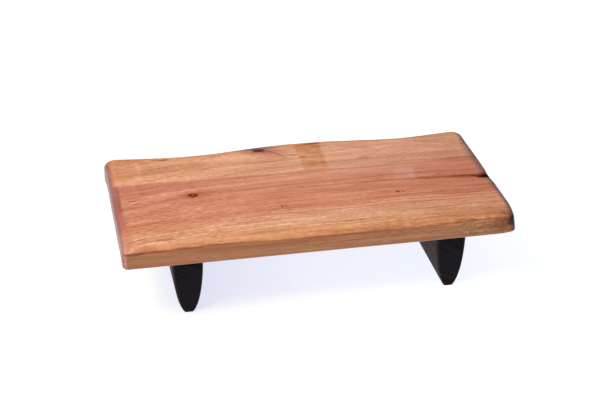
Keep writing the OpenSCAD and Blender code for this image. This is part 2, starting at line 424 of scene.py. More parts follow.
def new_piece(name, points, faces, node, material):
    """A piece that replaces a CAD node, smooth but for its sharp edges."""
    piece = new_object(name, points, faces, material)
    piece.data.validate()
    piece.data.shade_smooth()
    piece.data.set_sharp_from_angle(angle=np.radians(SHARP_ANGLE))
    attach(piece, "root")
    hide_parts(node)


def plank(name, side, material):
    """One plank: its rings, a patch over its top, and a flat underside with the dowels' holes."""
    rings, normals = plank_rings(side)
    count = rings.shape[1]
    ring_numbers = np.arange(len(rings) * count).reshape(len(rings), count)
    rows = END_STEPS + CORNER_STEPS // 2
    columns = LONG_STEPS + CORNER_STEPS
    first = np.arange(rows + 1)
    last = 2 * (END_STEPS + CORNER_STEPS) + LONG_STEPS - first
    glue = (count - np.arange(columns + 1)) % count
    long = rows + np.arange(columns + 1)
    inner = patch(*(rings[0][line] for line in (first, last, glue, long)))[1:-1, 1:-1]
    inner_numbers = ring_numbers.size + np.arange(inner[..., 0].size).reshape(inner.shape[:2])
    cap = np.empty((rows + 1, columns + 1), int)
    cap[0], cap[-1], cap[:, 0], cap[:, -1] = glue, long, first, last
    cap[1:-1, 1:-1] = inner_numbers

    out = np.concatenate([normals.reshape(-1, 3), np.tile([0., 0, 1], (inner_numbers.size, 1))])
    out[:count] = [0, 0, 1]
    points = worn(np.concatenate([rings.reshape(-1, 3), inner.reshape(-1, 3)]), out)
    if side < 0:
        points = cracked(points, out)

    places = [place for place in dowel_places() if (place[0][1] - glue_line(place[0][0])) * side > 0]
    hole_points, hole_faces, loops, mouths = dowel_holes(places, UNDERSIDE, 1, len(points))
    under = flat_faces([rings[-1], *loops], np.concatenate([ring_numbers[-1], *mouths]), (0, 0, -1))
    faces = [*quads(ring_numbers, wrap=True), *quads(cap), *hole_faces, *under]
    new_piece(name, np.concatenate([points, hole_points]), faces, name, material)


def leg_section(half_width, height, inset):
    """Half a superellipse below a flat top, its tip cut off for a foot: x and z, a row for each inset.

    x is the half width times cos(turn) to the power 2 / fullness, and z falls by the like power of sin(turn).
    """
    turn = np.linspace(0, np.pi, LEG_ARC_STEPS + 1)
    power = 2 / LEG_FULLNESS
    x = (half_width - inset) * np.sign(np.cos(turn)) * np.abs(np.cos(turn)) ** power
    fall = (height + FOOT_CUT - inset) * np.sin(turn) ** power
    return x, height - np.minimum(height - inset, fall)


def leg(name, material):
    """A cross bar: sections from front to back, eased by a quarter round at both faces."""
    low, high = corners(name)
    middle, half_width, height = (low[0] + high[0]) / 2, (high[0] - low[0]) / 2, high[2]
    turns = np.linspace(np.pi / 2, 0, LEG_EASE_STEPS + 1)
    eases = np.concatenate([[0], LEG_EASE * (1 - np.sin(turns))])
    insets = np.concatenate([[LEG_EASE + LEG_INNER], LEG_EASE * (1 - np.cos(turns))])
    between = np.linspace(low[1] + LEG_EASE, high[1] - LEG_EASE, LEG_STEPS + 1)[1:-1]
    y = np.concatenate([low[1] + eases, between, high[1] - eases[::-1]])[:, None]
    x, z = leg_section(half_width, height, np.concatenate([insets, 0 * between, insets[::-1]])[:, None])
    rings = np.stack([middle + x, y + 0 * x, z], 2)
    waves = LEG_WAVES * wander(rings.reshape(-1, 3), (30, 40, 18), 11).reshape(x.shape)
    fading = smooth(*FOOT_FADE, z) * smooth(*HEAD_FADE, height - z)
    rings[..., 0] += waves * fading * np.sign(rings[..., 0] - middle)
    numbers = np.arange(rings[..., 0].size).reshape(rings.shape[:2])
    points = rings.reshape(-1, 3)
    rim = np.concatenate([numbers[:, 0], numbers[::-1, -1]])
    side = name.split("_")[0]
    hole_points, hole_faces, loops, mouths = dowel_holes(dowel_places(side), height, -1, len(points))
    faces = [
        *quads(numbers),
        *flat_faces([rings[0]], numbers[0], (0, -1, 0)),
        *flat_faces([rings[-1]], numbers[-1], (0, 1, 0)),
        *hole_faces,
        *flat_faces([points[rim], *loops], np.concatenate([rim, *mouths]), (0, 0, 1)),
    ]
    new_piece(name, np.concatenate([points, hole_points]), faces, name, material)


class Graph:
    """Adds nodes to one node tree. An input is a number, a colour, a vector or the output of another node."""

    def __init__(self, tree):
        self.tree = tree

    def add(self, kind, inputs=None, out=0, **settings):
        """Adds a node, joins its inputs by name or number, and gives one output, or all of them for None."""
        node = self.tree.nodes.new(kind)
        for name, value in settings.items():
            setattr(node, name, value)
        self.join(node, inputs or {})
        return node.outputs if out is None else node.outputs[out]

    def join(self, node, inputs):
        """Links or sets each named input of a node."""
        for name, value in inputs.items():
            if isinstance(value, bpy.types.NodeSocket):
                self.tree.links.new(value, node.inputs[name])
            else:
                node.inputs[name].default_value = value

    def math(self, operation, *values):
        return self.add("ShaderNodeMath", dict(enumerate(values)), operation=operation)

    def times(self, value, other):
        return self.math("MULTIPLY", value, other)

    def less(self, value, other):
        return self.math("SUBTRACT", value, other)

    def scaled(self, value, scale, start):
        """The value times the scale, plus the start."""
        return self.math("MULTIPLY_ADD", value, scale, start)

    def total(self, first, *others):
        for value in others:
            first = self.math("ADD", first, value)
        return first

    def most(self, first, *others):
        for value in others:
            first = self.math("MAXIMUM", first, value)
        return first

    def vector(self, operation, *values, out=0):
        return self.add("ShaderNodeVectorMath", dict(enumerate(values)), out, operation=operation)

    def length(self, vector):
        return self.vector("LENGTH", vector, out=1)

    def xyz(self, vector):
        return self.add("ShaderNodeSeparateXYZ", {0: vector}, None)

    def point(self, x, y, z):
        return self.add("ShaderNodeCombineXYZ", {0: x, 1: y, 2: z})

    def share(self, value, low, high, kind="SMOOTHSTEP"):
        """0 at low and 1 at high, blended between them and held beyond them."""
        inputs = {"Value": value, "From Min": low, "From Max": high}
        return self.add("ShaderNodeMapRange", inputs, interpolation_type=kind)

    def between(self, share, value, other):
        """A value where a share is 0, another where it is 1."""
        return self.scaled(share, self.less(other, value), value)

    def noise(self, place, cell, detail=2):
        """Noise from 0 to 1 whose blotches are a cell long, each axis with its own length."""
        inputs = {"Vector": self.vector("DIVIDE", place, cell), "Scale": 1, "Detail": detail}
        return self.add("ShaderNodeTexNoise", inputs)

    def swing(self, place, cell, detail, amount):
        """Noise that swings about 0, over a whole range of the given amount."""
        return self.times(self.less(self.noise(place, cell, detail), 0.5), amount)

    def lay(self, colour, mask, strength, other, blend="MIX"):
        """Lays another colour over a colour, where a mask is 1 and at a strength."""
        inputs = {0: self.times(mask, strength), 6: colour, 7: other}
        return self.add("ShaderNodeMix", inputs, 2, data_type="RGBA", blend_type=blend)

    def toned(self, colour, tone):
        """Makes a colour paler, or deeper for a negative tone.

        A tone of 1 multiplies red by 1.8, green by 2.7 and blue by 4.3, as wood's figure changes blue most.
        """
        factors = [self.math("POWER", base, tone) for base in (1.8, 2.7, 4.3)]
        return self.vector("MULTIPLY", colour, self.point(*factors))

    def zones(self, value, stops):
        """A colour for each place along a value, blended between stops of a place and a colour."""
        low, high = stops[0][0], stops[-1][0]
        colour = self.add("ShaderNodeValToRGB", {0: self.share(value, low, high, "LINEAR")})
        elements = colour.node.color_ramp.elements
        for _ in stops[2:]:
            elements.new(0.5)
        for element, (place, _) in zip(elements, stops):
            element.position = (place - low) / (high - low)
        for element, (_, paint) in zip(elements, stops):
            element.color = paint
        return colour

    def use(self, group, **inputs):
        """Places a shared effect with its own values and gives its outputs by name."""
        return self.add("ShaderNodeGroup", labelled(inputs), None, node_tree=group)


def srgb(red, green, blue):
    """A colour from its display values, 0 to 255, as linear light."""
    value = np.array([red, green, blue]) / 255
    linear = np.where(value < 0.04045, value / 12.92, ((value + 0.055) / 1.055) ** 2.4)
    return (*linear.tolist(), 1)


def labelled(inputs):
    """The inputs under their sockets' labels, such as Half size for half_size."""
    return {name.replace("_", " ").capitalize(): value for name, value in inputs.items()}


def effect(name, build, **inputs):
    """A shader node group: named inputs with their usual values, and the outputs that a function builds."""
    tree = bpy.data.node_groups.new(name, "ShaderNodeTree")
    for label, value in labelled(inputs).items():
        kind = "NodeSocketFloat" if isinstance(value, (int, float)) else "NodeSocketVector"
        tree.interface.new_socket(label, in_out="INPUT", socket_type=kind).default_value = value
    graph = Graph(tree)
    made = build(graph, tree.nodes.new("NodeGroupInput").outputs)
    for label in made:
        tree.interface.new_socket(label, in_out="OUTPUT", socket_type="NodeSocketFloat")
    graph.join(tree.nodes.new("NodeGroupOutput"), made)
    return tree


def build_grain(g, i):
    """Along and across the grain, in millimetres.

    The grain droops towards the front at the left, bends a little at the right, tilts below the rounded edge,
    and wanders and ripples by noise.
    """
    x, y, z = g.xyz(i["Place"])
    left = g.math("POWER", g.share(x, -16, -RIGHT_END, "LINEAR"), 2)
    right = g.math("POWER", g.share(x, 40, RIGHT_END, "LINEAR"), 2)
    depth = g.most(g.less(TOP - ROUND_DROPS[3], z), 0)
    across = g.scaled(right, i["Bend"], g.scaled(left, i["Droop"], y))
    slow = g.swing(i["Place"], (70, 22, 40), 1, i["Wander"])
    quick = g.swing(i["Place"], (16, 5, 30), 2, 1.6)
    ripple = g.swing(i["Place"], (3, 7, 30), 1, i["Ripple"])
    return {"Along": x, "Across": g.total(across, g.times(depth, i["Tilt"]), slow, quick, ripple)}


def build_figure(g, i):
    """The wood's figure from its grain, as a change of tone about 0.

    Its broad parts are bands, blotches and dark growth lines, its long part is fine streaks, and its short
    parts are ticks and open pores. Relief grows where the surface lies low and is dull.
    """
    place = g.point(i["Along"], i["Across"], i["Seed"])
    lines = g.share(g.noise(place, (150, 4.6, 1)), 0.5, 0.66)
    pores = g.share(g.noise(place, (4.6, 0.55, 1), 1), 0.6, 0.7)
    streaks = g.swing(place, (110, 2.2, 1), 1, 1)
    bands = g.swing(place, (240, 12, 1), 1, 0.5)
    broad = g.total(bands, g.swing(place, (34, 7, 1), 2, 0.8), g.times(lines, -0.2))
    short = g.scaled(pores, -0.5, g.swing(place, (5.6, 1.3, 1), 1, 1.1))
    return {
        "Tone": g.total(g.times(broad, i["Broad"]), g.times(streaks, i["Long"]), g.times(short, i["Short"])),
        "Lines": lines,
        "Relief": g.scaled(pores, 0.6, g.share(streaks, 0.15, -0.15, "LINEAR")),
    }


def build_end_grain(g, i):
    """Growth rings, arcs round a middle above or below the board, and pores, as a change of tone."""
    _, y, z = g.xyz(i["Place"])
    middle_y, middle_z, _ = g.xyz(i["Middle"])
    radius = g.length(g.point(g.less(y, middle_y), g.less(z, middle_z), 0))
    uneven = g.scaled(g.noise(i["Place"], (9, 9, 9)), 3, radius)
    pores = g.share(g.noise(i["Place"], (0.7, 0.7, 0.7), 1), 0.56, 0.66)
    return {"Tone": g.scaled(pores, -0.25, g.swing(g.point(uneven, y, 0), (1.5, 60, 1), 1, 1.6))}


def build_mark(g, i):
    """A soft mark: 1 inside an egg-shaped space with the given half sizes, and its edge ragged by noise."""
    away = g.vector("DIVIDE", g.vector("SUBTRACT", i["Place"], i["Middle"]), i["Half size"])
    edge = g.total(g.length(away), g.swing(i["Place"], (6, 2, 3), 2, i["Ragged"]))
    return {"Mask": g.share(edge, g.total(1, i["Softness"]), g.less(1, i["Softness"]))}


def build_streak(g, i):
    """A stain along the grain from one place to another, through the whole depth, that fades at its ends.

    Across its bowed line it is a bell, exp(-s^2), of the distance s in half widths.
    """
    x, y, _ = g.xyz(i["Place"])
    x0, y0, _ = g.xyz(i["Start"])
    x1, y1, _ = g.xyz(i["End"])
    run = g.math("DIVIDE", g.less(x, x0), g.less(x1, x0))
    bow = g.times(g.times(run, g.less(1, run)), g.times(i["Bow"], 4))
    away = g.less(y, g.total(g.between(run, y0, y1), bow))
    side = g.math("DIVIDE", g.total(away, g.swing(i["Place"], (24, 60, 60), 2, 3)), i["Half width"])
    across = g.math("EXPONENT", g.times(g.times(side, side), -1))
    return {"Mask": g.times(across, g.times(g.share(run, -0.02, 0.25), g.share(run, 1.04, 0.9)))}


def build_ends(g, i):
    """Where the surface turns to the ends, the front and the back, from its direction.

    Ends is for both ends. Left shoulder and Left wall are the steeper part and the wall of the left end.
    """
    x, y, _ = g.xyz(i["Facing"])
    left = g.times(x, -1)
    return {
        "Left": g.share(left, 0.01, 0.16, "LINEAR"),
        "Right": g.share(x, 0.02, 0.45, "LINEAR"),
        "Front": g.share(g.times(y, -1), 0.72, 0.96, "LINEAR"),
        "Back": g.share(y, 0.15, 0.6, "LINEAR"),
        "Ends": g.share(g.math("ABSOLUTE", x), 0.35, 0.8, "LINEAR"),
        "Left shoulder": g.share(left, 0.5, 0.85),
        "Left wall": g.share(left, 0.94, 0.995),
    }


NO_PLACE = (0, 0, 0)
GRAIN = effect("Grain of the board", build_grain, place=NO_PLACE, droop=16, bend=3, tilt=2, wander=5,
               ripple=0.8)
FIGURE = effect("Figure of the wood", build_figure, along=0, across=0, seed=0, broad=1, long=1, short=1)
END_GRAIN = effect("End grain", build_end_grain, place=NO_PLACE, middle=NO_PLACE)
MARK = effect("Mark in the wood", build_mark, place=NO_PLACE, middle=NO_PLACE, half_size=(1, 1, 1),
              softness=0.3, ragged=0.6)
STREAK = effect("Stain along the grain", build_streak, place=NO_PLACE, start=NO_PLACE, end=(1, 0, 0), bow=0,
                half_width=1)
ENDS = effect("Turned faces", build_ends, facing=NO_PLACE)

# The clear coat, and the gloss of the wood under it
LACQUER = {"Coat Roughness": 0.04, "Coat IOR": 1.5, "Specular IOR Level": 0.2}


def new_material(name):
    """A material with a Principled shader, its graph, its shader, places in millimetres and directions."""
    material = bpy.data.materials.new(name)
    material.use_nodes = True
    graph = Graph(material.node_tree)
    shader = material.node_tree.nodes["Principled BSDF"]
    coordinates = graph.add("ShaderNodeTexCoord", None, None)
    place = graph.add("ShaderNodeVectorMath", {0: coordinates["Object"], "Scale": 1 / MM}, operation="SCALE")
    return material, graph, shader, place, coordinates["Normal"]


def mark(g, place, middle, half_size, softness, ragged=0.6):
    """The mask of one mark in the wood."""
    sizes = {"half_size": half_size, "softness": softness, "ragged": ragged}
    return g.use(MARK, place=place, middle=middle, **sizes)["Mask"]


def patches(g, colour, place, spots):
    """Lays patches of paint on a colour, each with its middle, half sizes, paint, strength and softness."""
    for middle, half_size, paint, strength, softness in spots:
        colour = g.lay(colour, mark(g, place, middle, half_size, softness), strength, paint)
    return colour


def marked(g, tone, place, spots):
    """Adds marks to a tone, each with its middle, half sizes, own tone and softness."""
    for middle, half_size, change, softness in spots:
        tone = g.scaled(mark(g, place, middle, half_size, softness), change, tone)
    return tone


def stained(g, tone, place, runs):
    """Adds stains along the grain to a tone, each with its two ends, bow, half width and own tone."""
    for start, end, bow, half_width, change in runs:
        line = {"start": (*start, 0), "end": (*end, 0), "bow": bow}
        tone = g.scaled(g.use(STREAK, place=place, **line, half_width=half_width)["Mask"], change, tone)
    return tone


def knotted(g, tone, place, middle, half_x, half_y, pale):
    """Adds a knot to a tone: a wide shade, a dark core and a paler eye. It gives its core too."""
    tone = marked(g, tone, place, [(middle, (2.2 * half_x, 1.8 * half_y, 12), -0.4, 0.7)])
    core = mark(g, place, middle, (half_x, half_y, 9), 0.3, 0.9)
    tone = g.scaled(core, -2.4, tone)
    return marked(g, tone, place, [(middle, (0.4 * half_x, 0.4 * half_y, 9), 2.4 * pale, 0.4)]), core


def grain_surface(g, shader, figure, rough, depth, scuffs=0):
    """Roughness and relief from the figure: streaks and pores lie lower and are duller. Scuffs add relief."""
    height = g.less(scuffs, figure["Relief"])
    bump = g.add("ShaderNodeBump", {"Strength": 0.5, "Distance": depth * MM, "Height": height})
    g.join(shader, {"Roughness": g.scaled(figure["Relief"], 0.15, rough), "Normal": bump})


def finished_plank(g, shader, colour, figure, turned, dull, scuffs=0):
    """Joins a plank's colour, surface and clear coat, which has soaked into the ends and where it is dull."""
    ends = g.most(turned["Left"], turned["Right"], turned["Back"])
    bare = g.most(g.times(ends, 0.85), g.times(dull, 0.8))
    g.join(shader, {"Base Color": colour, "Coat Weight": g.scaled(bare, -0.8, 0.8), **LACQUER})
    grain_surface(g, shader, figure, 0.4, 0.05, scuffs)


def end_tone(g, place, turned, figure, middle):
    """The figure's tone, fainter over the left rounding, and the growth rings' tone on the ends."""
    faint = g.times(figure["Tone"], g.scaled(turned["Left"], -0.5, 1))
    return g.between(turned["Ends"], faint, g.use(END_GRAIN, place=place, middle=middle)["Tone"])


def left_end(g, colour, turned):
    """Lays the darker shoulder and the greyer wall of the left end on a plank's colour."""
    colour = g.lay(colour, turned["Left shoulder"], 0.6, srgb(116, 76, 72))
    return g.lay(colour, turned["Left wall"], 0.8, srgb(148, 112, 110))


# The front plank's colours: across the grain, up the front face, and along the left and right ends, the right
# end's partly painted shade
FRONT_ACROSS = [
    (-95, srgb(214, 148, 104)), (-72, srgb(219, 153, 107)), (-66, srgb(213, 146, 102)),
    (-58, srgb(228, 167, 127)), (-50, srgb(220, 156, 118)), (-42, srgb(216, 146, 108)),
    (-34, srgb(209, 134, 96)), (-22, srgb(214, 139, 104)), (-14, srgb(209, 134, 101)),
    (-6, srgb(214, 141, 108)), (2, srgb(204, 129, 96)), (11, srgb(218, 145, 113)),
    (22, srgb(209, 133, 101)),
]
FRONT_FACE = [
    (47, srgb(217, 196, 161)), (52, srgb(221, 199, 165)), (55.5, srgb(208, 184, 149)),
    (58, srgb(220, 190, 153)), (61, srgb(226, 192, 152)),
]
FRONT_LEFT_END = [
    (-75, srgb(196, 132, 112)), (-58, srgb(195, 121, 96)), (-50, srgb(194, 118, 92)),
    (-40, srgb(168, 98, 77)), (-26, srgb(159, 87, 68)), (-6, srgb(148, 78, 66)),
    (18, srgb(160, 92, 78)),
]
FRONT_RIGHT_END = [(-75, srgb(124, 84, 80)), (22, srgb(150, 112, 114))]
# Its patches, on the top and front and then at the ends: middle, half sizes, paint, strength and softness
FRONT_PATCHES = [
    ((-118, 12, 62), (38, 8, 30), srgb(188, 102, 84), 0.45, 0.7),
    ((90, -70, 62), (44, 5, 9), srgb(196, 124, 74), 0.4, 0.8),
]
FRONT_END_PATCHES = [
    ((-148.6, -36, 60.4), (2.8, 12, 5), srgb(142, 76, 64), 0.7, 0.5),
    ((-146, -30, 60), (3, 9, 8), srgb(190, 102, 74), 0.4, 0.7),
    # Painted highlight: a pale pink line along the inner edge of the left end's rounding
    ((-142.4, -28, 63), (1.6, 18, 5), srgb(190, 116, 108), 0.5, 0.6),
    ((122, -75, 55), (28, 4, 7), srgb(184, 134, 94), 0.5, 0.7),
]
# Painted shade: a near-black patch on the worn front right corner, whose rounding turns away from the lamp
CORNER_SHADE_PATCH = ((147.6, -74, 56.6), (5, 9, 4.2), srgb(60, 34, 32), 0.95, 0.4)
# Its stains along the grain: two ends, bow, half width and tone
FRONT_STAINS = [
    ((-30, -4), (98, -6.6), 0.4, 1.0, -0.38),
    ((76, -6), (164, -11), 0.4, 2.0, -0.75),
    ((112, -8.6), (166, -14), 0, 2.4, -0.9),
    ((-84, -2), (100, 4.2), 1.2, 1.1, -0.22),
    ((-150, -17), (-84, -3), 1.0, 1.1, -0.28),
    ((-86, 21), (4, 20.4), 0, 0.7, -0.3),
    ((-52, -32), (-6, -31), 0.4, 0.7, -0.2),
]
# Its marks, such as broad shades, flecks, painted shade in the crack's mouth and lines along the front edge:
# middle, half sizes, tone and softness
FRONT_MARKS = [
    ((-85, -38, 62), (44, 3, 30), 0.14, 0.7),
    ((-35, -58, 62), (70, 4, 9), 0.16, 0.7),
    ((62, -48, 62), (38, 8, 9), 0.14, 0.7),
    ((-122, 7, 62), (7, 1.8, 9), -0.3, 0.6),
    # Painted shade: the crack's mouth darkened on both sides of its line, where it opens over the rounded end
    ((148, CRACK_Y - CRACK_SLANT, 60), (9, 2.8, 12), -2.6, 0.5),
    ((145, CRACK_Y + 1.4, 62), (5.4, 2.8, 8), -1.4, 0.5),
    ((-134.8, -3.6, 64), (3.8, 0.7, 6), -1.3, 0.5),
    ((-133, -5.6, 64), (3.6, 1.2, 6), 0.4, 0.5),
    ((-131, -7.6, 64), (3, 0.6, 6), -0.6, 0.5),
    ((-104, -12.6, 64), (2.4, 0.9, 6), -0.3, 0.5),
    ((-23.6, -31.6, 64), (0.8, 2.6, 4), -0.9, 0.5),
    ((-20.5, -31, 64), (1.5, 3.4, 4), -0.25, 0.6),
    ((69.2, -25, 64), (2, 1.3, 4), -1.8, 0.4),
    ((73.4, -25.6, 64), (1.2, 0.9, 4), -1.2, 0.4),
    ((66, -16.8, 64), (5, 0.9, 4), -0.3, 0.5),
    ((-116, -66.4, 64), (7, 1.1, 3), -0.6, 0.5),
    ((-120, -67.5, 64), (10, 1, 3), -0.3, 0.5),
    ((-141, -75, 58.9), (7, 1.8, 1.1), -1.1, 0.5),
    ((-124, -75, 59.4), (9, 1.8, 0.9), -0.6, 0.5),
    ((-101, -75, 60.2), (10, 1.8, 0.7), -0.7, 0.5),
    ((-83, -75, 60.9), (10, 1.8, 0.6), -0.7, 0.5),
    ((-58, -75, 60.9), (18, 1.8, 0.6), -0.3, 0.6),
    ((4, -75, 59.2), (40, 2, 0.9), -0.3, 0.6),
    ((106, -75, 63), (1.8, 1.4, 1.6), -0.7, 0.5),
    ((138, -75, 54), (16, 8, 14), -0.1, 0.7),
    ((141, -75, 55), (9, 6, 6), -0.42, 0.7),
    ((-62, -74.5, 61.4), (36, 3, 1.6), -0.16, 0.7),
    ((-78, -69, 64), (19, 3.4, 3), 0.15, 0.7),
    ((-12, -70, 64), (18, 2.6, 3), 0.12, 0.7),
    ((110, -75, 57), (28, 4, 3.4), 0.26, 0.7),
    ((112, -73, 63), (26, 4, 2), -0.2, 0.7),
    ((-133, -74, 62.5), (9, 3, 3), -0.46, 0.6),
    ((-64, -71, 64), (38, 3, 3), 0.12, 0.7),
    ((-30, -74, 62), (60, 3, 2.4), -0.1, 0.7),
    ((16, -74, 61.5), (12, 3, 2.4), -0.12, 0.7),
    ((54, -74.5, 61.5), (30, 3, 2.2), -0.06, 0.7),
    ((22, -66.5, 64), (17, 3, 4), -0.2, 0.7),
    ((-108, -57, 64), (20, 4, 6), -0.18, 0.7),
    ((85, -58.5, 64), (58, 2.6, 6), -0.2, 0.7),
    ((-45, -28, 64), (16, 7, 9), -0.14, 0.7),
    ((-133, 1, 64), (10, 3.4, 9), -0.26, 0.7),
]


def front_plank_wood():
    """The redder plank: zones of colour across the grain, a knot, a stain towards the crack, darker ends and
    painted shade at the right.
    """
    material, g, shader, place, facing = new_material("Front plank wood")
    x, y, z = g.xyz(place)
    turned = g.use(ENDS, facing=facing)
    to_left = g.share(x, -20, -90)
    to_front = g.share(y, 12, -55, "LINEAR")
    ripple = g.scaled(g.times(to_left, g.share(y, -10, -50)), 0.5, 0.4)
    grain = g.use(GRAIN, place=place, ripple=ripple)
    figure = g.use(
        FIGURE, along=grain["Along"], across=grain["Across"], seed=3,
        long=g.scaled(to_front, 0.9, 0.3), short=g.scaled(g.total(to_left, to_front), 0.45, 0.5),
    )
    colour = patches(g, g.zones(grain["Across"], FRONT_ACROSS), place, FRONT_PATCHES)
    # Painted shade: the top darker towards the right, where the lamp's light falls off
    colour = g.lay(colour, g.share(x, 30, 130, "LINEAR"), 1, srgb(242, 233, 233), "MULTIPLY")
    colour = g.lay(colour, turned["Front"], 1, g.zones(z, FRONT_FACE), "MULTIPLY")
    colour = g.lay(colour, turned["Left"], 0.9, g.zones(y, FRONT_LEFT_END))
    colour = left_end(g, patches(g, colour, place, FRONT_END_PATCHES), turned)
    # Partly painted shade, partly end grain: a darker band along the top before the right end, which widens
    # the end's dark rim
    near_end = g.scaled(to_front, -3, g.scaled(g.noise(place, (9, 3, 9)), 1.6, x))
    colour = g.lay(colour, g.share(near_end, 140.6, 145.4), 0.8, srgb(136, 92, 88))
    # The right end darker and greyer: partly end grain that has soaked up the finish, partly painted shade,
    # as it faces away from the lamp
    colour = g.lay(colour, turned["Right"], 0.8, g.zones(y, FRONT_RIGHT_END))
    # Painted shade on the front right corner
    colour = patches(g, colour, place, [CORNER_SHADE_PATCH])

    tone = end_tone(g, place, turned, figure, (-20, -30, 0))
    sloping = g.share(g.times(g.xyz(facing)[1], -1), 0.1, 0.5)
    tone = g.times(tone, g.scaled(g.times(sloping, g.share(x, 20, -100)), -0.58, 1))
    tone = marked(g, stained(g, tone, place, FRONT_STAINS), place, FRONT_MARKS)
    tone, core = knotted(g, tone, place, (-87.6, -2, TOP), 3.6, 2.7, 0.95)
    scuffed = mark(g, place, (124, -75, 55.5), (27, 4, 6.5), 0.5, 0.8)
    scuffs = g.times(scuffed, g.swing(place, (2.4, 2, 1.1), 2, 1))
    colour = g.toned(colour, g.scaled(scuffs, 1.8, tone))
    finished_plank(g, shader, colour, figure, turned, g.most(core, scuffed), g.times(scuffs, 5))
    return material


# The back plank's colours across the grain, and painted shade along the back edge's rounding
BACK_ACROSS = [
    (20, srgb(217, 150, 110)), (28, srgb(213, 143, 102)), (33, srgb(209, 138, 96)),
    (40, srgb(215, 145, 103)), (46, srgb(207, 133, 86)), (53, srgb(214, 143, 99)),
    (61, srgb(213, 145, 102)), (74, srgb(204, 127, 80)),
]
BACK_EDGE_SHADE = [(-150, srgb(132, 98, 100)), (150, srgb(124, 90, 90))]
# Its patches, stains and marks, written as the front plank's are
BACK_PATCHES = [
    ((132, 58, 62), (8, 4, 20), srgb(204, 152, 72), 0.55, 0.6),
    ((-14, 57, 62), (10, 9, 20), srgb(190, 98, 56), 0.5, 0.8),
    ((-42, 59.2, 64), (13, 3, 9), srgb(220, 162, 96), 0.5, 0.7),
    ((-1, 65, 64), (8, 3, 9), srgb(220, 158, 84), 0.6, 0.7),
    ((-20, 62.6, 64), (15, 2.8, 9), srgb(184, 92, 70), 0.8, 0.7),
    ((-52, 66.6, 64), (14, 2, 6), srgb(200, 104, 86), 0.6, 0.7),
    ((-26, 69, 63), (15, 2.6, 5), srgb(124, 84, 100), 0.9, 0.6),
    ((9, 47.6, 64), (3, 1.8, 6), srgb(190, 88, 64), 0.7, 0.6),
]
BACK_STAINS = [
    ((-127, 26.5), (-85, 40.5), -2.6, 1.0, -0.35),
    ((-92, 39.5), (2, 43.6), 1.6, 1.0, -0.32),
    ((-64, 25), (-28, 31.6), 1.0, 0.9, -0.4),
    ((-38, 31.4), (68, 36), -0.6, 0.9, -0.38),
    ((36, 65), (73, 49.5), 0.8, 1.2, -0.4),
    ((48, 35), (72, 47), -1.6, 1.2, -0.3),
    ((100, 62), (148, 48), -0.8, 1.5, -0.35),
    ((54, 28.4), (126, 21.8), 0.3, 0.8, -0.3),
    ((116, 22.9), (148, 22.2), 0, 1.0, -0.9),
    ((-24, 64), (-4, 48), 4, 2.2, -0.55),
]
BACK_MARKS = [
    ((-112, 28, 62), (38, 5, 20), 0.22, 0.7),
    ((-110, 60, 62), (44, 8, 20), 0.14, 0.7),
    ((88, 60, 62), (26, 7, 20), 0.12, 0.7),
    ((-110, 48, 62), (12, 6, 30), -0.22, 0.7),
    ((-79, 49, 62), (8, 3, 30), -0.18, 0.7),
    ((-136, 37, 62), (9, 4, 30), -0.14, 0.7),
    ((-124, 50, 62), (2.6, 9, 20), 0.22, 0.8),
    ((-48, 53, 62), (22, 6, 20), 0.2, 0.7),
    ((126, 32, 62), (16, 5, 20), -0.3, 0.7),
    ((57, 37, 64), (6, 2.4, 8), -0.35, 0.6),
    ((-72, 40, 64), (3, 1.2, 6), -0.5, 0.5),
    ((-102.6, 62.7, 64), (4.2, 1, 3), -2.2, 0.4),
    ((-110, 63.4, 64), (3, 0.8, 3), -0.6, 0.4),
    ((-119, 59.6, 64), (3, 1.3, 3), -0.5, 0.5),
    ((2, 52.6, 64), (3.6, 1.1, 3), -1, 0.5),
    ((87, 68.5, 64), (28, 3.2, 6), -0.32, 0.6),
    ((26, 64.6, 64), (6, 1.1, 3), -0.7, 0.5),
    ((21, 70.5, 63), (7, 1.6, 3), -0.9, 0.5),
]


def back_plank_wood():
    """The paler, yellower plank: a flame-like figure, a dark knot on its back edge, small dark flecks, and
    painted shade at its back edge and right end.
    """
    material, g, shader, place, facing = new_material("Back plank wood")
    x, y, _ = g.xyz(place)
    turned = g.use(ENDS, facing=facing)
    grain = g.use(GRAIN, place=place, droop=10, tilt=1.4, wander=12)
    figure = g.use(
        FIGURE, along=grain["Along"], across=grain["Across"], seed=11, broad=1.1, long=0.45,
        short=g.scaled(g.share(x, 30, -60), 0.2, 0.8),
    )
    colour = patches(g, g.zones(grain["Across"], BACK_ACROSS), place, BACK_PATCHES)
    # Painted shade: the top darker towards the right, where the lamp's light falls off
    colour = g.lay(colour, g.share(x, 20, 130, "LINEAR"), 1, srgb(243, 235, 230), "MULTIPLY")
    # Painted shade: the back edge's rounding darker and greyer, as it faces away from the lamp
    colour = g.lay(colour, turned["Back"], 0.8, g.zones(x, BACK_EDGE_SHADE))
    uneven_x = g.scaled(g.noise(place, (9, 3, 9)), 1.6, x)
    colour = g.lay(colour, g.share(uneven_x, -142, -147), 0.85, srgb(152, 90, 82))
    colour = left_end(g, colour, turned)
    # Partly painted shade, partly end grain: a darker band along the top before the right end, which widens
    # the end's dark rim
    near_end = g.scaled(g.share(y, 42, 60), -2.6, uneven_x)
    colour = g.lay(colour, g.share(near_end, 139.6, 145.4), 0.8, srgb(136, 92, 82))
    # The right end darker and greyer: partly end grain that has soaked up the finish, partly painted shade,
    # as it faces away from the lamp
    colour = g.lay(colour, turned["Right"], 0.8, srgb(150, 114, 116))

    tone = end_tone(g, place, turned, figure, (60, 130, 0))
    tone = marked(g, stained(g, tone, place, BACK_STAINS), place, BACK_MARKS)
    tone, core = knotted(g, tone, place, (-24.6, 65.4, TOP), 4.6, 2.5, 0)
    finished_plank(g, shader, g.toned(colour, tone), figure, turned, core)
    return material


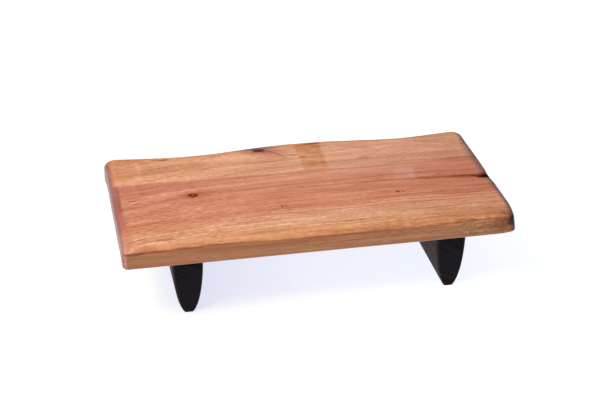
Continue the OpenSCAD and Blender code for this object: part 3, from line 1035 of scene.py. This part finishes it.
def black_leg_wood():
    """Black-stained wood: the stain is thin along the growth lines, so some brown shows; the sides are
    browner, the top painted darker.
    """
    material, g, shader, place, facing = new_material("Black stained wood")
    x, y, z = g.xyz(place)
    figure = g.use(FIGURE, along=y, across=g.scaled(x, 0.6, z), seed=5)
    turned = g.use(ENDS, facing=facing)
    # Painted shade: the black darker towards the top, under the board's overhang
    colour = g.zones(z, [(0, srgb(32, 30, 38)), (36, srgb(31, 29, 36)), (46, srgb(18, 17, 24))])
    for side in ("Left", "Right"):
        colour = g.lay(colour, turned[side], 0.85, srgb(74, 61, 64))
    colour = g.lay(g.toned(colour, figure["Tone"]), figure["Lines"], 0.3, srgb(46, 34, 33))
    g.join(shader, {"Base Color": colour, "Specular IOR Level": 0.06})
    grain_surface(g, shader, figure, 0.5, 0.08)
    return material


def raw_dowel_wood():
    """Raw pale wood with fine flecks along the dowel."""
    material, g, shader, place, _ = new_material("Raw dowel wood")
    x, y, z = g.xyz(place)
    figure = g.use(FIGURE, along=z, across=g.scaled(x, 1.7, y), seed=9)
    colour = g.zones(z, [(30, srgb(218, 181, 137)), (58, srgb(213, 175, 130))])
    g.join(shader, {"Base Color": g.toned(colour, figure["Tone"])})
    grain_surface(g, shader, figure, 0.55, 0.05)
    return material


# The camera: its angles and distance, the point that it looks at, its lens and sensor, and its nearest view
AZIMUTH, ELEVATION, ROLL = np.radians([-12.018, 28.261, 0.608])
DISTANCE = 1145.9
LOOKS_AT = np.array([1.2, 19.44, 39.75])
LENS, SENSOR = 85.8, 36
NEAREST = 10

# The lamp: its width, its distance, its power in watts and where it stands
LAMP_WIDTH, LAMP_DISTANCE = 1100, 2000
LAMP_POWER = 36.5
LAMP_TOWARD = (-0.6, -0.2, 0.8)

# The floor: its half width, its level just below the feet, and how far from the board it turns plain white
FLOOR_HALF = 3000
FLOOR_LEVEL = -0.02
FLOOR_FADE_FROM, FLOOR_FADE_TO = 250, 500
# What it gives back of the lamp's light, and what diffuse rays see of it
FLOOR_TINT = (0.33, 0.32, 0.14, 1)
FLOOR_BOUNCE = (0.75, 0.75, 0.75, 1)
# Its colours in the board's shadow, from left to right
SHADE = [(-90, (0.71, 0.74, 0.88, 1)), (0, (0.81, 0.84, 0.97, 1)), (150, (0.86, 0.9, 0.985, 1))]

WHITE = (1, 1, 1, 1)
WARM_GLOW = (1, 0.94, 0.84, 1)
PALE_GLOW = (1, 0.97, 0.91, 1)
COOL_GLOW = (0.95, 0.97, 1, 1)


def add_camera():
    """Sets the camera back from what it looks at, along its azimuth and elevation, and rolls it.

    It gives the camera's place.
    """
    turned = Matrix.Rotation(AZIMUTH, 4, "Z") @ Matrix.Rotation(np.pi / 2 - ELEVATION, 4, "X")
    turned = turned @ Matrix.Rotation(ROLL, 4, "Z")
    eye = LOOKS_AT + np.array(turned)[:3, 2] * DISTANCE
    camera = bpy.data.objects.new("Camera", bpy.data.cameras.new("Camera"))
    camera.data.lens = LENS
    camera.data.sensor_width = SENSOR
    camera.data.clip_start = NEAREST * MM
    camera.matrix_world = Matrix.Translation(eye * MM) @ turned
    bpy.context.scene.collection.objects.link(camera)
    bpy.context.scene.camera = camera
    return eye


def staged(name, points, faces, material):
    """A mesh that is part of the setting and not of the board."""
    piece = new_object(name, points, faces, material)
    return piece


def emptied(owner):
    """The node tree of a material or a world, emptied, as a graph."""
    owner.use_nodes = True
    owner.node_tree.nodes.clear()
    return Graph(owner.node_tree)


def glow(name, strength, tint):
    """An emitting material whose strength follows the mesh's own glow, a share at each corner."""
    material = bpy.data.materials.new(name)
    g = emptied(material)
    share = g.add("ShaderNodeAttribute", None, 2, attribute_name="glow")
    light = g.add("ShaderNodeEmission", {"Color": tint, "Strength": g.times(share, strength)})
    g.add("ShaderNodeOutputMaterial", {"Surface": light}, None)
    return material


def reflected_card(eye, name, card_y, fall, strength, tint, places):
    """An upright card behind the board, cut so that its mirror image in the top fills the given places.

    Each corner is where the line of sight to a place on the top, turned back there, meets the card's plane.
    A place is x, y and the share of the card's strength there.
    """
    up = np.array([0, fall, 1]) / np.hypot(1, fall)
    points = []
    for x, y, _ in places:
        spot = np.array([x, y, TOP])
        sight = spot - eye
        turned = sight - 2 * (sight @ up) * up
        points.append(spot + turned * (card_y - y) / turned[1])
    faces = [(i, i + 1, i + 3, i + 2) for i in range(0, len(places) - 2, 2)]
    card = staged(name, points, faces, glow(name, strength, tint))
    shares = card.data.attributes.new("glow", "FLOAT", "POINT")
    shares.data.foreach_set("value", [share for _, _, share in places])
    card.visible_camera = card.visible_diffuse = card.visible_transmission = False
    card.visible_volume_scatter = card.visible_shadow = False


def at_glue_line(x, share):
    """A card's place on the glue line, with its share of the card's strength."""
    return x, glue_line(x), share


def add_reflections(eye):
    """The top's pale reflections: two on the back plank, a small and a faint one on the front plank."""
    back = BACK_EDGE + 8
    reflected_card(eye, "Left reflection", 620, BACK_PLANK_FALL, 1.35, WARM_GLOW, [
        at_glue_line(-165, 0.3), (-165, back, 0.3), at_glue_line(-60, 0.8), (-60, back, 0.6),
        at_glue_line(6, 1), (6, back, 0.6)])
    reflected_card(eye, "Right reflection", 620, BACK_PLANK_FALL, 1.35, PALE_GLOW, [
        at_glue_line(25.2, 1), (28.4, back, 1), at_glue_line(165, 0.7), (165, back, 0.7)])
    reflected_card(eye, "Small reflection", 600, 0, 1.3, COOL_GLOW, [
        (70, -8, 0.2), (80, 17, 0.9), (90, -8, 0.5), (91, 13, 1)])
    reflected_card(eye, "Faint reflection", 640, 0, 0.6, WARM_GLOW, [
        (-90, -18, 0), at_glue_line(-90, 0), (-30, -18, 0), at_glue_line(-30, 1),
        (90, -18, 0), at_glue_line(90, 1), (135, -18, 0), at_glue_line(135, 0)])


def add_floor():
    """A plain white floor, pale blue in the board's shadow.

    It takes the light only round the board, and is plain white further out. Diffuse rays see it as a lit pale
    surface, and from below it is clear.
    """
    material = bpy.data.materials.new("Floor")
    g = emptied(material)
    path = g.add("ShaderNodeLightPath", None, None)
    place = g.add("ShaderNodeTexCoord", None, None)["Object"]
    near = g.add("ShaderNodeAddShader", {
        0: g.add("ShaderNodeBsdfDiffuse", {"Color": FLOOR_TINT}),
        1: g.add("ShaderNodeEmission", {"Color": g.zones(g.math("DIVIDE", g.xyz(place)[0], MM), SHADE)}),
    })
    far = g.share(g.length(place), FLOOR_FADE_FROM * MM, FLOOR_FADE_TO * MM)
    white = g.add("ShaderNodeEmission", {"Color": WHITE, "Strength": 1})
    seen = g.add("ShaderNodeMixShader", {0: far, 1: near, 2: white})
    lit = g.add("ShaderNodeBsdfDiffuse", {"Color": FLOOR_BOUNCE})
    shown = g.most(path["Is Camera Ray"], path["Is Glossy Ray"])
    above = g.add("ShaderNodeMixShader", {0: shown, 1: lit, 2: seen})
    below = g.add("ShaderNodeBsdfTransparent")
    backfacing = g.add("ShaderNodeNewGeometry", None, None)["Backfacing"]
    surface = g.add("ShaderNodeMixShader", {0: backfacing, 1: above, 2: below})
    g.add("ShaderNodeOutputMaterial", {"Surface": surface}, None)
    ways = np.array([(-1, -1, 0), (1, -1, 0), (1, 1, 0), (-1, 1, 0)])
    staged("Floor", ways * FLOOR_HALF + [0, 0, FLOOR_LEVEL], [(0, 1, 2, 3)], material)


def add_surroundings():
    """White for the camera, and a soft room for other rays: bright above and left, dark at the right."""
    world = bpy.data.worlds.new("Surroundings")
    bpy.context.scene.world = world
    g = emptied(world)
    path = g.add("ShaderNodeLightPath", None, None)
    x, _, z = g.xyz(g.add("ShaderNodeTexCoord", None, None)["Generated"])
    room = g.scaled(g.share(z, 0.3, 1), 0.3, g.scaled(g.share(x, 0.8, -0.9), 0.28, 0.08))
    seen = g.add("ShaderNodeBackground", {"Color": WHITE, "Strength": 1})
    other = g.add("ShaderNodeBackground", {"Color": WHITE, "Strength": room})
    surface = g.add("ShaderNodeMixShader", {0: path["Is Camera Ray"], 1: other, 2: seen})
    g.add("ShaderNodeOutputWorld", {"Surface": surface}, None)


def add_key_light():
    """One large soft lamp, high on the left and a little in front. Its gloss comes from the surroundings."""
    lamp = bpy.data.lights.new("Key light", "AREA")
    lamp.shape = "DISK"
    lamp.size = LAMP_WIDTH * MM
    lamp.energy = LAMP_POWER
    light = bpy.data.objects.new("Key light", lamp)
    toward = Vector(LAMP_TOWARD).normalized()
    turned = toward.to_track_quat("Z", "Y").to_matrix().to_4x4()
    light.matrix_world = Matrix.Translation(toward * LAMP_DISTANCE * MM) @ turned
    light.visible_glossy = False
    bpy.context.scene.collection.objects.link(light)


plank("front_plank", -1, front_plank_wood())
plank("back_plank", 1, back_plank_wood())
leg_wood = black_leg_wood()
for leg_name in ("left_leg", "right_leg"):
    leg(leg_name, leg_wood)
dowel_wood = raw_dowel_wood()
for node_name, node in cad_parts.items():
    if "dowel" in node_name:
        node.data.materials.clear()
        node.data.materials.append(dowel_wood)

add_reflections(add_camera())
add_floor()
add_surroundings()
add_key_light()

bpy.context.scene.view_settings.view_transform = "Standard"
